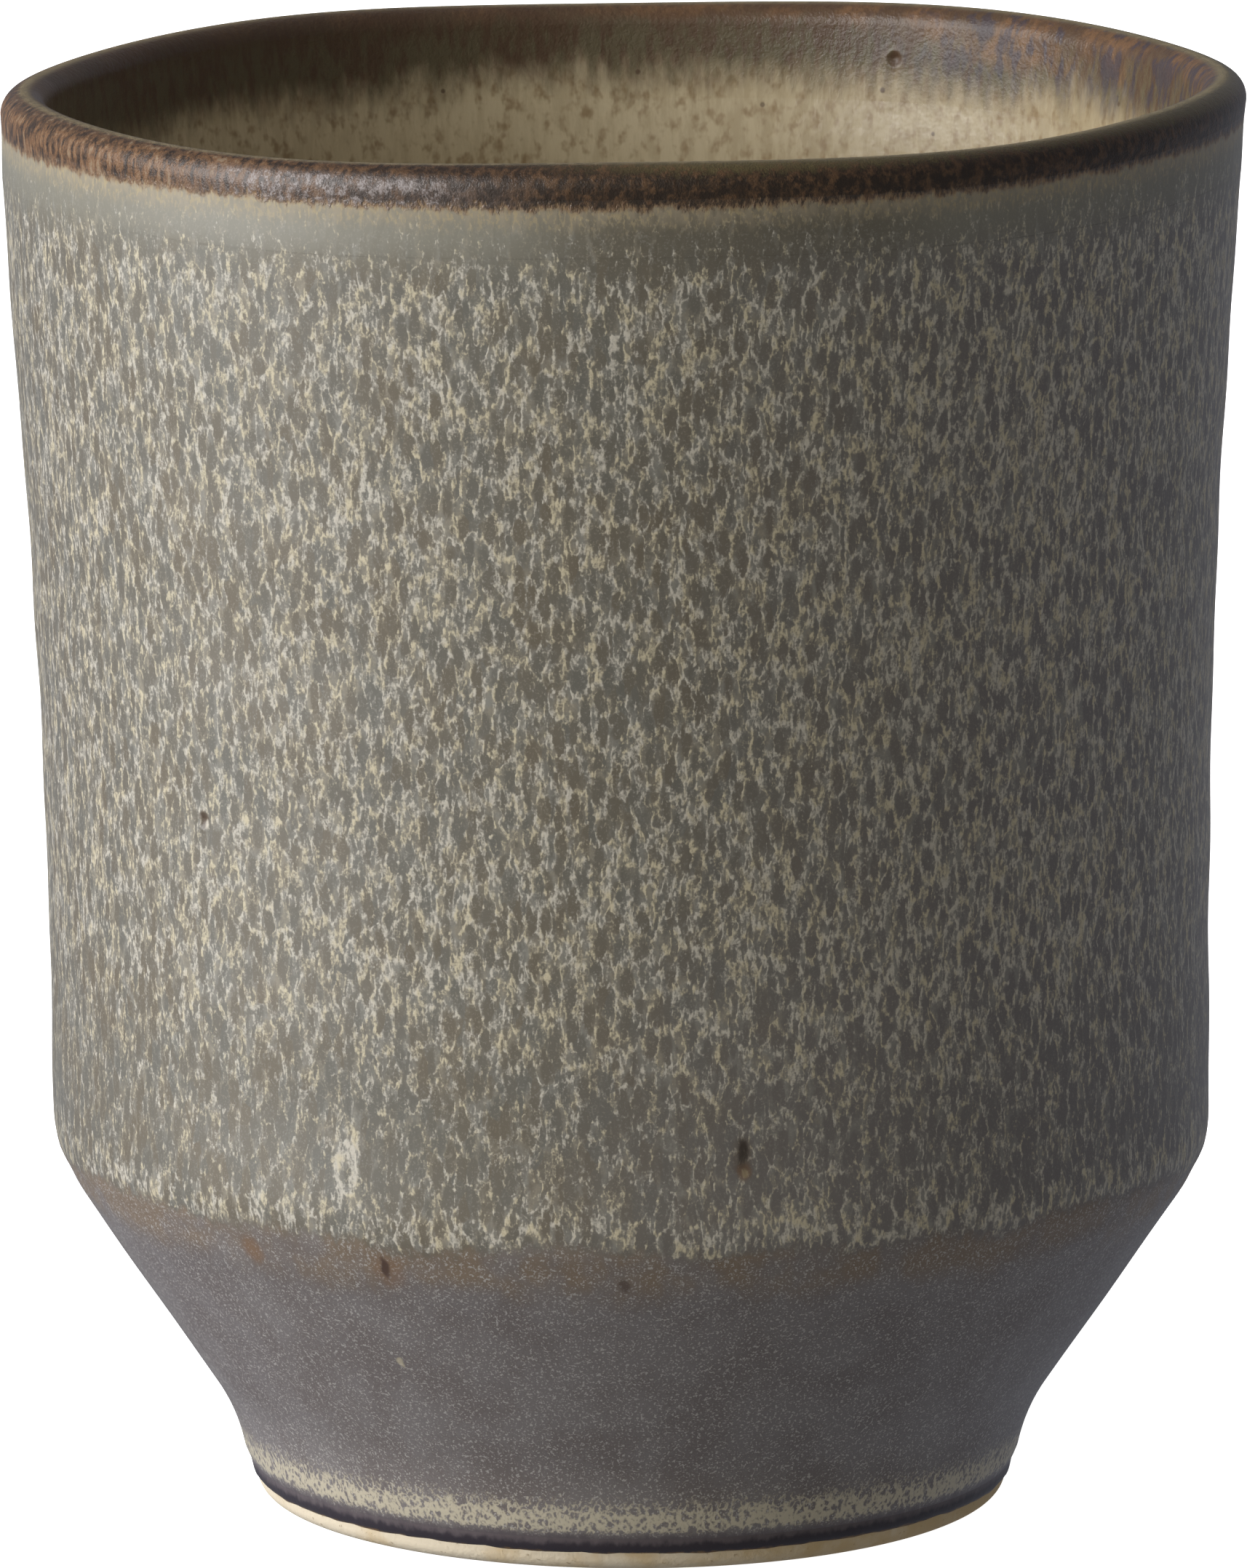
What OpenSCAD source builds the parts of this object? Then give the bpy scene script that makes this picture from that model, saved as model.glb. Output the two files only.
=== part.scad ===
// A yunomi: a tall tea cup without a handle, thrown and turned from one piece of stoneware.
// The clay is covered by four fired coats of glaze, and each coat is a skin of its own that
// follows the clay's profile. Lengths are in millimetres. The cup stands on z = 0, on the z axis.

/* [Clay body] */
// Height of the clay, from the table to the top of the lip
height = 92.4; // [80:0.2:110]
// Diameter of the clay at the lip
rim_d = 79.6; // [72:0.2:92]
// Diameter of the wall where it is narrowest, above the shoulder
waist_d = 74; // [66:0.2:80]
// Height of that narrowest place
waist_z = 28; // [26.5:0.5:40]
// How late the wall flares: a higher power keeps the flare closer to the lip
flare_power = 2.2; // [1.5:0.1:4]
// Height of the shoulder, where the wall breaks into the taper
shoulder_z = 23; // [17:0.5:24.5]
// Radius that softens the shoulder outside
shoulder_round = 10; // [2:0.5:12]
// Thickness of the lip, which is round
lip_t = 2.6; // [2:0.1:4]
// Thickness of the clay at the waist and down the taper
wall_t = 4; // [3:0.1:5.5]
// Thickness of the floor, above the hollow of the foot
floor_t = 5; // [3.5:0.1:7]
// Radius of the sweep from the floor into the taper, inside
bowl_round = 12; // [4:0.5:16]
// Radius of the bend from the taper into the wall, inside
bowl_shoulder_round = 12; // [4:0.5:16]

/* [Foot] */
// Diameter of the foot ring at the table, before its edge is rounded
foot_d = 48.5; // [42:0.5:50]
// Diameter of the neck, where the foot meets the taper
neck_d = 51; // [49:0.5:56]
// Height of the neck
neck_z = 5.9; // [4.5:0.1:8]
// Radius of the cove at the neck
cove_round = 14; // [4:0.5:20]
// Width of the foot ring
ring_w = 5; // [3.5:0.1:8]
// Depth of the turned hollow inside the foot ring
hollow_depth = 2.2; // [1.2:0.1:3.5]
// How far the side of the hollow leans in
hollow_draft = 1; // [0:0.1:2]
// Radius in the corner of the hollow
hollow_round = 1.5; // [0.5:0.1:2]
// Radius of the turned edges on the table
foot_edge = 1.1; // [0.3:0.05:1.2]

/* [Glaze coats] */
// Thickness of the dark iron coat, next to the clay
iron_t = 0.2; // [0.15:0.05:0.5]
// Thickness of the grey coat over the iron
grey_t = 0.2; // [0.15:0.05:0.5]
// Thickness of the mottled coat over the grey
mottled_t = 0.2; // [0.15:0.05:0.5]
// Thickness of the cream liner coat
liner_t = 0.3; // [0.15:0.05:0.5]
// Height of the bare clay above the table
bare_h = 1; // [1:0.1:2]
// Height of the iron line that shows above the bare clay
iron_line_h = 1.2; // [0.8:0.1:3]
// Height at which the mottled coat ends, at the shoulder
mottled_z = 22.5; // [12:0.5:40]
// Depth of the iron band that shows below the lip, outside
band_out_h = 3.2; // [2.4:0.1:8]
// Depth of the plain grey band below it
grey_band_h = 3; // [1.5:0.1:10]
// Depth of the iron band below the lip, inside
band_in_h = 5.5; // [2.4:0.1:16]
// Length over which a coat thins out at its edge
feather = 0.8; // [0.3:0.1:1]

/* [Hidden] */
$fn = 180;

// Steps along a corner's arc, along the flare of the wall and over the lip
arc_steps = 8;
flare_steps = 16;
lip_steps = 12;
// A corner's arc takes no more than this share of the straight on either side of it
room_share = 0.49;

waist_r = waist_d / 2;
rim_r = rim_d / 2;
neck_r = neck_d / 2;
foot_r = foot_d / 2;
lip_r = lip_t / 2;
lip_z = height - lip_r;
lip_centre = [rim_r - lip_r, lip_z];
ring_in_r = foot_r - ring_w;
ring_mid_r = foot_r - ring_w / 2;
floor_z = hollow_depth + floor_t;

// The inside of the taper runs level with its outside, one wall in
taper_lean = atan2(waist_r - neck_r, shoulder_z - neck_z);
bowl_r = waist_r - wall_t;
bowl_shoulder_z = shoulder_z + wall_t * tan(taper_lean / 2);
floor_r = bowl_r - (bowl_shoulder_z - floor_z) * tan(taper_lean);

// Where each coat starts and ends
grey_z = bare_h + iron_line_h;
grey_top_z = height - band_out_h;
mottled_top_z = grey_top_z - grey_band_h;
liner_top_z = height - band_in_h;

function unit(v) = v / norm(v);
function left_of(v) = [-v.y, v.x];
function turned(v, angle) = [v.x * cos(angle) - v.y * sin(angle), v.x * sin(angle) + v.y * cos(angle)];
function reverse(path) = [for (i = [len(path) - 1 : -1 : 0]) path[i]];
function place(corner) = [corner[0], corner[1]];

// The arc that rounds a corner [r, z, round] between its two neighbours
function corner_arc(before, corner, after) =
    let (
        way_in = place(corner) - place(before),
        way_out = place(after) - place(corner),
        turn = atan2(cross(way_in, way_out), way_in * way_out),
        spread = tan(abs(turn) / 2),
        room = room_share * min(norm(way_in), norm(way_out)),
        set_back = min(corner[2] * spread, room),
        spoke = sign(turn) * set_back / spread * left_of(unit(way_in)),
        centre = place(corner) - set_back * unit(way_in) + spoke
    )
    [for (k = [0 : arc_steps]) centre - turned(spoke, turn * k / arc_steps)];

// A path through corners, from the first to the last, with the corners between them rounded
function rounded(corners) =
    let (last = len(corners) - 1)
    concat(
        [place(corners[0])],
        [for (i = [1 : last - 1]) each corner_arc(corners[i - 1], corners[i], corners[i + 1])],
        [place(corners[last])]
    );

// The wall above the waist: heights, radius outside and thickness
flare_heights = [for (k = [1 : flare_steps - 1]) waist_z + (lip_z - waist_z) * k / flare_steps];
function rise_share(z) = (z - waist_z) / (lip_z - waist_z);
function flare_r(z) = waist_r + (rim_r - waist_r) * pow(rise_share(z), flare_power);
function flare_t(z) = wall_t + (lip_t - wall_t) * rise_share(z);

underside = rounded([
    [0, hollow_depth, 0],
    [ring_in_r - hollow_draft, hollow_depth, hollow_round],
    [ring_in_r, 0, foot_edge],
    [ring_mid_r, 0, 0]
]);

// The clay from the table up to the lip, outside
outside = concat(
    rounded([
        [ring_mid_r, 0, 0],
        [foot_r, 0, foot_edge],
        [neck_r, neck_z, cove_round],
        [waist_r, shoulder_z, shoulder_round],
        [waist_r, waist_z, 0]
    ]),
    [for (z = flare_heights) [flare_r(z), z]]
);

// The clay from the middle of the floor up to the lip, inside
inside = concat(
    rounded([
        [0, floor_z, 0],
        [floor_r, floor_z, bowl_round],
        [bowl_r, bowl_shoulder_z, bowl_shoulder_round],
        [bowl_r, waist_z, 0]
    ]),
    [for (z = flare_heights) [flare_r(z) - flare_t(z), z]]
);

// A path moved off the clay by a coat's thickness: side is 1 outside the cup and -1 inside it
function off_clay(path, side, t) =
    [for (i = [0 : len(path) - 1])
        let (along = unit(path[min(i + 1, len(path) - 1)] - path[max(i - 1, 0)]))
        path[i] - side * t * left_of(along)];
function outer_skin(t) = off_clay(outside, 1, t);
function inner_skin(t) = off_clay(inside, -1, t);
function lip_skin(t) =
    [for (k = [0 : lip_steps]) lip_centre + (lip_r + t) * turned([1, 0], 180 * k / lip_steps)];

// Stretches of a rising path, cut off level at the heights given
function point_at(path, z) = [lookup(z, [for (p = path) [p.y, p.x]]), z];
function above(path, low) = concat([point_at(path, low)], [for (p = path) if (p.y > low) p]);
function below(path, high) = concat([for (p = path) if (p.y < high) p], [point_at(path, high)]);
function between(path, low, high) = below(above(path, low), high);

// One coat, turned from the face on the layer below it and its own free face
module coat(seat, face) {
    rotate_extrude()
        polygon(concat(seat, reverse(face)));
}

// Thrown wall and floor with the turned foot, in one piece: bare below the glaze and underneath
module clay_body() {
    color("#cdb597")
        rotate_extrude()
            polygon(concat(underside, outside, lip_skin(0), reverse(inside)));
}

// First coat outside, over the lip and a little way down inside: it shows at the foot and the lip
module iron_glaze() {
    color("#2f211b")
        coat(
            concat(above(outer_skin(0), bare_h), lip_skin(0), reverse(above(inner_skin(0), liner_top_z))),
            concat(
                above(outer_skin(iron_t), bare_h + feather),
                lip_skin(iron_t),
                reverse(above(inner_skin(iron_t), liner_top_z))
            )
        );
}

// Second coat outside: it shows on the taper, and as a band below the lip
module grey_glaze() {
    color("#6a655f")
        coat(
            between(outer_skin(iron_t), grey_z, grey_top_z),
            between(outer_skin(iron_t + grey_t), grey_z + feather, grey_top_z - feather)
        );
}

// Third coat outside, from the shoulder up the wall
module mottled_glaze() {
    color("#8b8677")
        coat(
            between(outer_skin(iron_t + grey_t), mottled_z, mottled_top_z),
            between(outer_skin(iron_t + grey_t + mottled_t), mottled_z + feather, mottled_top_z - feather)
        );
}

// Coat inside, over the floor and the wall, up to the iron band
module liner_glaze() {
    color("#c8b795")
        coat(below(inner_skin(0), liner_top_z), below(inner_skin(liner_t), liner_top_z));
}

clay_body();
iron_glaze();
grey_glaze();
mottled_glaze();
liner_glaze();
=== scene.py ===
"""Glazed tea cup: a hand-thrown stoneware cup under four coats of glaze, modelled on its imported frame."""
import math
from collections import namedtuple

import bpy
import numpy as np
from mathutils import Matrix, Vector


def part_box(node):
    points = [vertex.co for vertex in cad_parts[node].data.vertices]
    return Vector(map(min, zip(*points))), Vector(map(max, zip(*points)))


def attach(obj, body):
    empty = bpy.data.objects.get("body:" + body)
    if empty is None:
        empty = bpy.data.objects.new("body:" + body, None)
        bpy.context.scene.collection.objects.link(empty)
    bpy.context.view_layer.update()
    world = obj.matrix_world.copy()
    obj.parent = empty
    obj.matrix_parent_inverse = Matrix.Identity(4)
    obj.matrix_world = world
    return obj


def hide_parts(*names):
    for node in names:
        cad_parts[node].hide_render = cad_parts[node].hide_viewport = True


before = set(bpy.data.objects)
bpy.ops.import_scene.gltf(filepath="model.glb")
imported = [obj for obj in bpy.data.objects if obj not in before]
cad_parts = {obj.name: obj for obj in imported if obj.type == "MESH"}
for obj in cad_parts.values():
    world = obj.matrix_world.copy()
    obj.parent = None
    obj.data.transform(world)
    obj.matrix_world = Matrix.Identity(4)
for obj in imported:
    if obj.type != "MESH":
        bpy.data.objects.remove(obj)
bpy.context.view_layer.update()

bl_info = {
    "name": "Glazed Tea Cup",
    "version": (1, 0, 0),
    "blender": (4, 5, 0),
    "location": "3D View > Sidebar > Tea Cup",
    "description": "Models a hand-thrown tea cup, its coats of glaze and a plain studio",
    "category": "Add Mesh",
}

MM = 0.001
CLAY_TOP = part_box("clay_body")[1]

# Steps round the cup and round a corner of a profile, and how close two points lie before they count as one
ROUND_STEPS = 192
ARC_STEPS = 10
WELD = 2e-6

# A corner's arc takes no more than this share of the straight on either side of it
ROOM_SHARE = 0.49

# How far apart the points of a profile lie: on a coat, on the iron coat's edges, in the turned hollow,
# and on the clay that the coats hide, outside and inside
COAT_STEP = 0.6 * MM
EDGE_STEP = 0.35 * MM
HOLLOW_STEP = 0.4 * MM
CLAY_STEP = 1.5 * MM
BOWL_STEP = 3 * MM

# Steps over the lip, on the clay and on the iron coat
CLAY_LIP_STEPS = 8
COAT_LIP_STEPS = 24

# One in so many points is kept where none show: on the seat of a coat, and in the middle of the iron coat
SEAT_STRIDE = 3
HIDDEN_STRIDE = 6

# How far the iron coat's fine points reach, up from the table and down from the lip
FINE_FOOT = 4 * MM
FINE_LIP = 6 * MM

# Lengths over which a coat gains or loses its thickness: iron at the foot, grey and mottled at their tops,
# the liner where it meets the iron
IRON_BEAD = 0.3 * MM
GREY_FADE = 4 * MM
MOTTLED_FADE = 8 * MM
LINER_FADE = 4 * MM

# How many times longer than the other feathered edges the mottled coat's edge at the shoulder is
SHOULDER_FEATHER = 1.8

# The rings in the hollow of the foot: their pitch over two pi, and the length over which they fade out
TURNING_WAVE = 0.42 * MM
TURNING_FADE = 2 * MM

# The throwing rings: their two pitches over two pi, and the length over which they grow above the foot
RING_WAVES = (1.6 * MM, 2.3 * MM)
RING_GROWTH = 12 * MM

# Share of the wall's lean that is left just below the lip
LIP_LEAN = 0.55

# How often the rim rises and falls, and how finely the faces under a pit are cut
RIM_LOBES = 5
PIT_CUTS = 9

# How strongly a glossy coat mirrors, and the duller iron and clay
GLOSSY = 0.5
DULL = 0.3


class TeaCupSizes(bpy.types.PropertyGroup):
    """Sizes of the clay, its foot and the coats of glaze."""

    height: bpy.props.FloatProperty(
        name="Height", description="From the table to the top of the clay's lip",
        default=CLAY_TOP.z, unit="LENGTH")
    rim_d: bpy.props.FloatProperty(
        name="Rim", description="Diameter of the clay at the lip",
        default=2 * CLAY_TOP.x, unit="LENGTH")
    waist_d: bpy.props.FloatProperty(
        name="Waist", description="Diameter of the wall where it is narrowest, above the shoulder",
        default=74 * MM, unit="LENGTH")
    waist_z: bpy.props.FloatProperty(
        name="Waist Height", description="Height of that narrowest place",
        default=28 * MM, unit="LENGTH")
    flare_power: bpy.props.FloatProperty(
        name="Flare", description="How late the wall flares: a higher power keeps it closer to the lip",
        default=2.2)
    shoulder_z: bpy.props.FloatProperty(
        name="Shoulder Height", description="Height at which the wall breaks into the taper",
        default=23 * MM, unit="LENGTH")
    shoulder_round: bpy.props.FloatProperty(
        name="Shoulder Radius", description="Radius that softens the shoulder outside",
        default=10 * MM, unit="LENGTH")
    lip_t: bpy.props.FloatProperty(
        name="Lip", description="Thickness of the round lip",
        default=2.6 * MM, unit="LENGTH")
    wall_t: bpy.props.FloatProperty(
        name="Wall", description="Thickness of the clay at the waist and down the taper",
        default=4 * MM, unit="LENGTH")
    floor_t: bpy.props.FloatProperty(
        name="Floor", description="Thickness of the floor, above the hollow of the foot",
        default=5 * MM, unit="LENGTH")
    bowl_round: bpy.props.FloatProperty(
        name="Bowl Radius", description="Radius of the sweep from the floor into the taper, inside",
        default=12 * MM, unit="LENGTH")
    foot_d: bpy.props.FloatProperty(
        name="Foot", description="Diameter of the foot ring at the table",
        default=48.5 * MM, unit="LENGTH")
    neck_d: bpy.props.FloatProperty(
        name="Neck", description="Diameter where the foot meets the taper",
        default=51 * MM, unit="LENGTH")
    neck_z: bpy.props.FloatProperty(
        name="Neck Height", description="Height of the neck",
        default=5.9 * MM, unit="LENGTH")
    cove_round: bpy.props.FloatProperty(
        name="Cove Radius", description="Radius of the cove at the neck",
        default=14 * MM, unit="LENGTH")
    ring_w: bpy.props.FloatProperty(
        name="Foot Ring", description="Width of the foot ring",
        default=5 * MM, unit="LENGTH")
    hollow_depth: bpy.props.FloatProperty(
        name="Hollow", description="Depth of the turned hollow inside the foot ring",
        default=2.2 * MM, unit="LENGTH")
    hollow_draft: bpy.props.FloatProperty(
        name="Hollow Draft", description="How far the side of the hollow leans in",
        default=1 * MM, unit="LENGTH")
    hollow_round: bpy.props.FloatProperty(
        name="Hollow Radius", description="Radius in the corner of the hollow",
        default=1.5 * MM, unit="LENGTH")
    foot_edge: bpy.props.FloatProperty(
        name="Foot Edge", description="Radius of the turned edges on the table",
        default=1.1 * MM, unit="LENGTH")
    iron_t: bpy.props.FloatProperty(
        name="Iron Coat", description="Thickness of the dark iron coat, next to the clay",
        default=0.2 * MM, unit="LENGTH")
    grey_t: bpy.props.FloatProperty(
        name="Grey Coat", description="Thickness of the grey coat over the iron",
        default=0.2 * MM, unit="LENGTH")
    mottled_t: bpy.props.FloatProperty(
        name="Mottled Coat", description="Thickness of the mottled coat over the grey",
        default=0.2 * MM, unit="LENGTH")
    liner_t: bpy.props.FloatProperty(
        name="Liner Coat", description="Thickness of the cream coat inside",
        default=0.3 * MM, unit="LENGTH")
    bare_h: bpy.props.FloatProperty(
        name="Bare Foot", description="Height of the bare clay above the table",
        default=0.95 * MM, unit="LENGTH")
    grey_z: bpy.props.FloatProperty(
        name="Grey Starts", description="Height at which the grey coat starts, above the iron line",
        default=1.9 * MM, unit="LENGTH")
    grey_top: bpy.props.FloatProperty(
        name="Grey Ends", description="Depth below the lip at which the grey coat ends",
        default=1.4 * MM, unit="LENGTH")
    mottled_z: bpy.props.FloatProperty(
        name="Mottled Starts", description="Height at which the mottled coat starts, at the shoulder",
        default=22 * MM, unit="LENGTH")
    mottled_top: bpy.props.FloatProperty(
        name="Mottled Ends", description="Depth below the lip at which the mottled coat ends",
        default=5 * MM, unit="LENGTH")
    liner_top: bpy.props.FloatProperty(
        name="Liner Ends", description="Depth below the lip at which the liner ends, inside",
        default=5.5 * MM, unit="LENGTH")
    feather: bpy.props.FloatProperty(
        name="Feather", description="Length over which a coat thins out at its edge",
        default=0.9 * MM, unit="LENGTH")
    turning: bpy.props.FloatProperty(
        name="Turning Rings", description="Height of the rings that the turning tool left in the hollow",
        default=0.08 * MM, unit="LENGTH")
    rings: bpy.props.FloatProperty(
        name="Throwing Rings", description="How far the soft rings of the throwing stand out",
        default=0.03 * MM, unit="LENGTH")
    lean: bpy.props.FloatProperty(
        name="Lean", description="How far the wall leans to the left: the lip comes back by half of it",
        default=0.95 * MM, unit="LENGTH")
    rim_tilt: bpy.props.FloatProperty(
        name="Rim Tilt", description="How far the rim is tilted, higher on the right",
        default=math.radians(0.76), subtype="ANGLE")
    rim_wave: bpy.props.FloatProperty(
        name="Rim Wave", description="How far the rim rises and falls between its five lobes",
        default=0.2 * MM, unit="LENGTH")


class TeaCupColours(bpy.types.PropertyGroup):
    """Colours of the clay and of the glazes."""

    clay: bpy.props.FloatVectorProperty(
        name="Clay", description="Bare clay at the foot",
        default=(0.67, 0.585, 0.45), subtype="COLOR")
    clay_toast: bpy.props.FloatVectorProperty(
        name="Toasted Clay", description="Clay that the fire has browned",
        default=(0.52, 0.38, 0.2), subtype="COLOR")
    amber: bpy.props.FloatVectorProperty(
        name="Amber Edge", description="Thin line where the glaze ends on the clay",
        default=(0.2, 0.12, 0.05), subtype="COLOR")
    iron: bpy.props.FloatVectorProperty(
        name="Iron", description="Dark iron glaze on the lip",
        default=(0.032, 0.022, 0.017), subtype="COLOR")
    iron_brown: bpy.props.FloatVectorProperty(
        name="Brown Iron", description="Browner places in the iron glaze",
        default=(0.082, 0.05, 0.031), subtype="COLOR")
    rust: bpy.props.FloatVectorProperty(
        name="Rust", description="Rust drips in the iron glaze, and its edge",
        default=(0.19, 0.1, 0.048), subtype="COLOR")
    rust_spot: bpy.props.FloatVectorProperty(
        name="Rust Spots", description="Dark red-brown spots below the shoulder",
        default=(0.06, 0.032, 0.022), subtype="COLOR")
    lip_worn: bpy.props.FloatVectorProperty(
        name="Worn Lip", description="Thin pale line along the very top of the lip",
        default=(0.26, 0.21, 0.12), subtype="COLOR")
    crest: bpy.props.FloatVectorProperty(
        name="Crest", description="Olive line along the top of the lip, where the glaze is thin",
        default=(0.14, 0.112, 0.05), subtype="COLOR")
    dusk: bpy.props.FloatVectorProperty(
        name="Dusk", description="Violet-dark marks inside the lip, at the right",
        default=(0.05, 0.042, 0.055), subtype="COLOR")
    # Pale crystals, partly a painted highlight on the front of the lip
    frost_and_highlight: bpy.props.FloatVectorProperty(
        name="Frost", description="Pale matt crystals on the lip",
        default=(0.33, 0.3, 0.3), subtype="COLOR")
    inner_band: bpy.props.FloatVectorProperty(
        name="Inner Band", description="Olive-brown glaze inside the lip",
        default=(0.1, 0.082, 0.048), subtype="COLOR")
    foot_line: bpy.props.FloatVectorProperty(
        name="Foot Line", description="Near-black line above the bare foot",
        default=(0.032, 0.026, 0.034), subtype="COLOR")
    foot_gap: bpy.props.FloatVectorProperty(
        name="Foot Gap", description="Violet-grey glaze between that line and the cream fringe",
        default=(0.1, 0.083, 0.09), subtype="COLOR")
    taper: bpy.props.FloatVectorProperty(
        name="Taper", description="Plain grey glaze on the taper",
        default=(0.178, 0.161, 0.158), subtype="COLOR")
    taper_fleck: bpy.props.FloatVectorProperty(
        name="Taper Flecks", description="Fine pale crystals on the taper",
        default=(0.42, 0.4, 0.38), subtype="COLOR")
    taper_dusk: bpy.props.FloatVectorProperty(
        name="Taper Clouds", description="Darker clouds in the grey of the taper",
        default=(0.145, 0.124, 0.118), subtype="COLOR")
    brown: bpy.props.FloatVectorProperty(
        name="Brown Band", description="Brown glaze just below the shoulder",
        default=(0.195, 0.145, 0.1), subtype="COLOR")
    ground: bpy.props.FloatVectorProperty(
        name="Ground", description="Dark grey glaze between the crystals",
        default=(0.131, 0.126, 0.109), subtype="COLOR")
    ground_brown: bpy.props.FloatVectorProperty(
        name="Brown Ground", description="Browner places in the dark grey glaze",
        default=(0.138, 0.117, 0.086), subtype="COLOR")
    ground_cool: bpy.props.FloatVectorProperty(
        name="Violet Ground", description="Dark grey glaze at the right, where it is more violet",
        default=(0.159, 0.145, 0.143), subtype="COLOR")
    haze: bpy.props.FloatVectorProperty(
        name="Haze", description="Thin grey crystals",
        default=(0.295, 0.268, 0.212), subtype="COLOR")
    haze_cool: bpy.props.FloatVectorProperty(
        name="Cool Haze", description="Thin crystals where they are bluer",
        default=(0.262, 0.255, 0.228), subtype="COLOR")
    crystal: bpy.props.FloatVectorProperty(
        name="Crystals", description="Cream crystals of the mottled glaze",
        default=(0.555, 0.49, 0.345), subtype="COLOR")
    crystal_pale: bpy.props.FloatVectorProperty(
        name="Pale Crystals", description="Crystals where they are greyer",
        default=(0.54, 0.502, 0.43), subtype="COLOR")
    band: bpy.props.FloatVectorProperty(
        name="Plain Band", description="Plain green-grey glaze under the lip",
        default=(0.2, 0.19, 0.155), subtype="COLOR")
    # Painted shade on the plain band, right of the middle
    band_shade: bpy.props.FloatVectorProperty(
        name="Painted Shade on Band", description="Plain band darkened by painted shade, right of the middle",
        default=(0.115, 0.1, 0.074), subtype="COLOR")
    lace: bpy.props.FloatVectorProperty(
        name="Foot Lace", description="Beige crystals that branch above the foot's dark line",
        default=(0.5, 0.45, 0.34), subtype="COLOR")
    gilt: bpy.props.FloatVectorProperty(
        name="Gilt", description="Golden crystals just under the dark lip",
        default=(0.35, 0.285, 0.17), subtype="COLOR")
    band_edge: bpy.props.FloatVectorProperty(
        name="Band Edge", description="Cream edge between the plain band and the dark lip",
        default=(0.31, 0.262, 0.186), subtype="COLOR")
    liner: bpy.props.FloatVectorProperty(
        name="Liner", description="Cream glaze inside",
        default=(0.54, 0.46, 0.31), subtype="COLOR")
    liner_dusk: bpy.props.FloatVectorProperty(
        name="Liner Runs", description="Darker runs in the cream glaze",
        default=(0.36, 0.29, 0.18), subtype="COLOR")
    liner_brown: bpy.props.FloatVectorProperty(
        name="Liner Spots", description="Brown spots in the cream glaze",
        default=(0.23, 0.155, 0.078), subtype="COLOR")
    floor: bpy.props.FloatVectorProperty(
        name="Floor", description="Studio floor",
        default=(0.88, 0.88, 0.87), subtype="COLOR")


class TeaCupStudio(bpy.types.PropertyGroup):
    """The camera and the lights."""

    distance: bpy.props.FloatProperty(
        name="Camera Distance", description="From the camera to the middle of the cup",
        default=0.9, unit="LENGTH")
    look_down: bpy.props.FloatProperty(
        name="Camera Elevation", description="How far the camera looks down",
        default=math.radians(10.83), subtype="ANGLE")
    lens: bpy.props.FloatProperty(
        name="Lens", description="Focal length in millimetres",
        default=318.5, unit="CAMERA")
    aim_x: bpy.props.FloatProperty(
        name="Aim Across", description="Where the camera aims, left or right of the foot's middle",
        default=-0.52 * MM, unit="LENGTH")
    aim_z: bpy.props.FloatProperty(
        name="Aim Height", description="Height at which the camera aims",
        default=46.5 * MM, unit="LENGTH")
    key_distance: bpy.props.FloatProperty(
        name="Key Light Distance", description="From the key light to where the camera aims",
        default=1.1, unit="LENGTH")
    key_turn: bpy.props.FloatProperty(
        name="Key Light Turn", description="How far to the left of the camera the key light stands",
        default=math.radians(72), subtype="ANGLE")
    key_rise: bpy.props.FloatProperty(
        name="Key Light Elevation", description="How high the key light stands",
        default=math.radians(18), subtype="ANGLE")
    key_power: bpy.props.FloatProperty(
        name="Key Light", description="Power of the key light in watts",
        default=20.5, unit="POWER")
    key_size: bpy.props.FloatProperty(
        name="Key Light Size", description="Side of the square key light",
        default=0.9, unit="LENGTH")
    fill_power: bpy.props.FloatProperty(
        name="Fill Light", description="Power of the weak warm light in front, in watts",
        default=1.4, unit="POWER")
    back_power: bpy.props.FloatProperty(
        name="Back Light", description="Power of the soft light behind the cup, in watts",
        default=6.0, unit="POWER")
    room: bpy.props.FloatProperty(
        name="Room Light", description="Strength of the even light from all round",
        default=0.225, subtype="FACTOR")
    bounce: bpy.props.FloatProperty(
        name="Table Light", description="How much stronger the even light is from below",
        default=0.07, subtype="FACTOR")


def rounded(corners):
    """Points on a path through corners (radius, height, rounding), rounded between its ends."""
    points = [Vector(corners[0][:2])]
    for before, corner, after in zip(corners, corners[1:], corners[2:]):
        way_in = Vector(corner[:2]) - Vector(before[:2])
        way_out = Vector(after[:2]) - Vector(corner[:2])
        turn = math.atan2(way_in.x * way_out.y - way_in.y * way_out.x, way_in.dot(way_out))
        spread = math.tan(abs(turn) / 2)
        set_back = min(corner[2] * spread, ROOM_SHARE * min(way_in.length, way_out.length))
        way_in.normalize()
        spoke = Vector((-way_in.y, way_in.x)) * math.copysign(set_back / spread, turn)
        centre = Vector(corner[:2]) - set_back * way_in + spoke
        for step in range(ARC_STEPS + 1):
            angle = turn * step / ARC_STEPS
            turned = Vector((
                spoke.x * math.cos(angle) - spoke.y * math.sin(angle),
                spoke.x * math.sin(angle) + spoke.y * math.cos(angle),
            ))
            points.append(centre - turned)
    points.append(Vector(corners[-1][:2]))
    return points


def fine(path, spacing):
    """The same path with points no further apart than the spacing."""
    points = [path[0]]
    for start, end in zip(path, path[1:]):
        parts = max(1, math.ceil((end - start).length / spacing))
        points.extend(start.lerp(end, part / parts) for part in range(1, parts + 1))
    return [point for i, point in enumerate(points) if i == 0 or (point - points[i - 1]).length > WELD]


def wall_rise(sizes, z):
    """How far up the flared wall a height lies, 0 at the waist and 1 at the lip's middle."""
    lip_z = sizes.height - sizes.lip_t / 2
    return (z - sizes.waist_z) / (lip_z - sizes.waist_z)


def wall_radius(sizes, z):
    """Radius of the flared wall outside at a height above the waist."""
    waist_r = sizes.waist_d / 2
    return waist_r + (sizes.rim_d / 2 - waist_r) * wall_rise(sizes, z) ** sizes.flare_power


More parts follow.
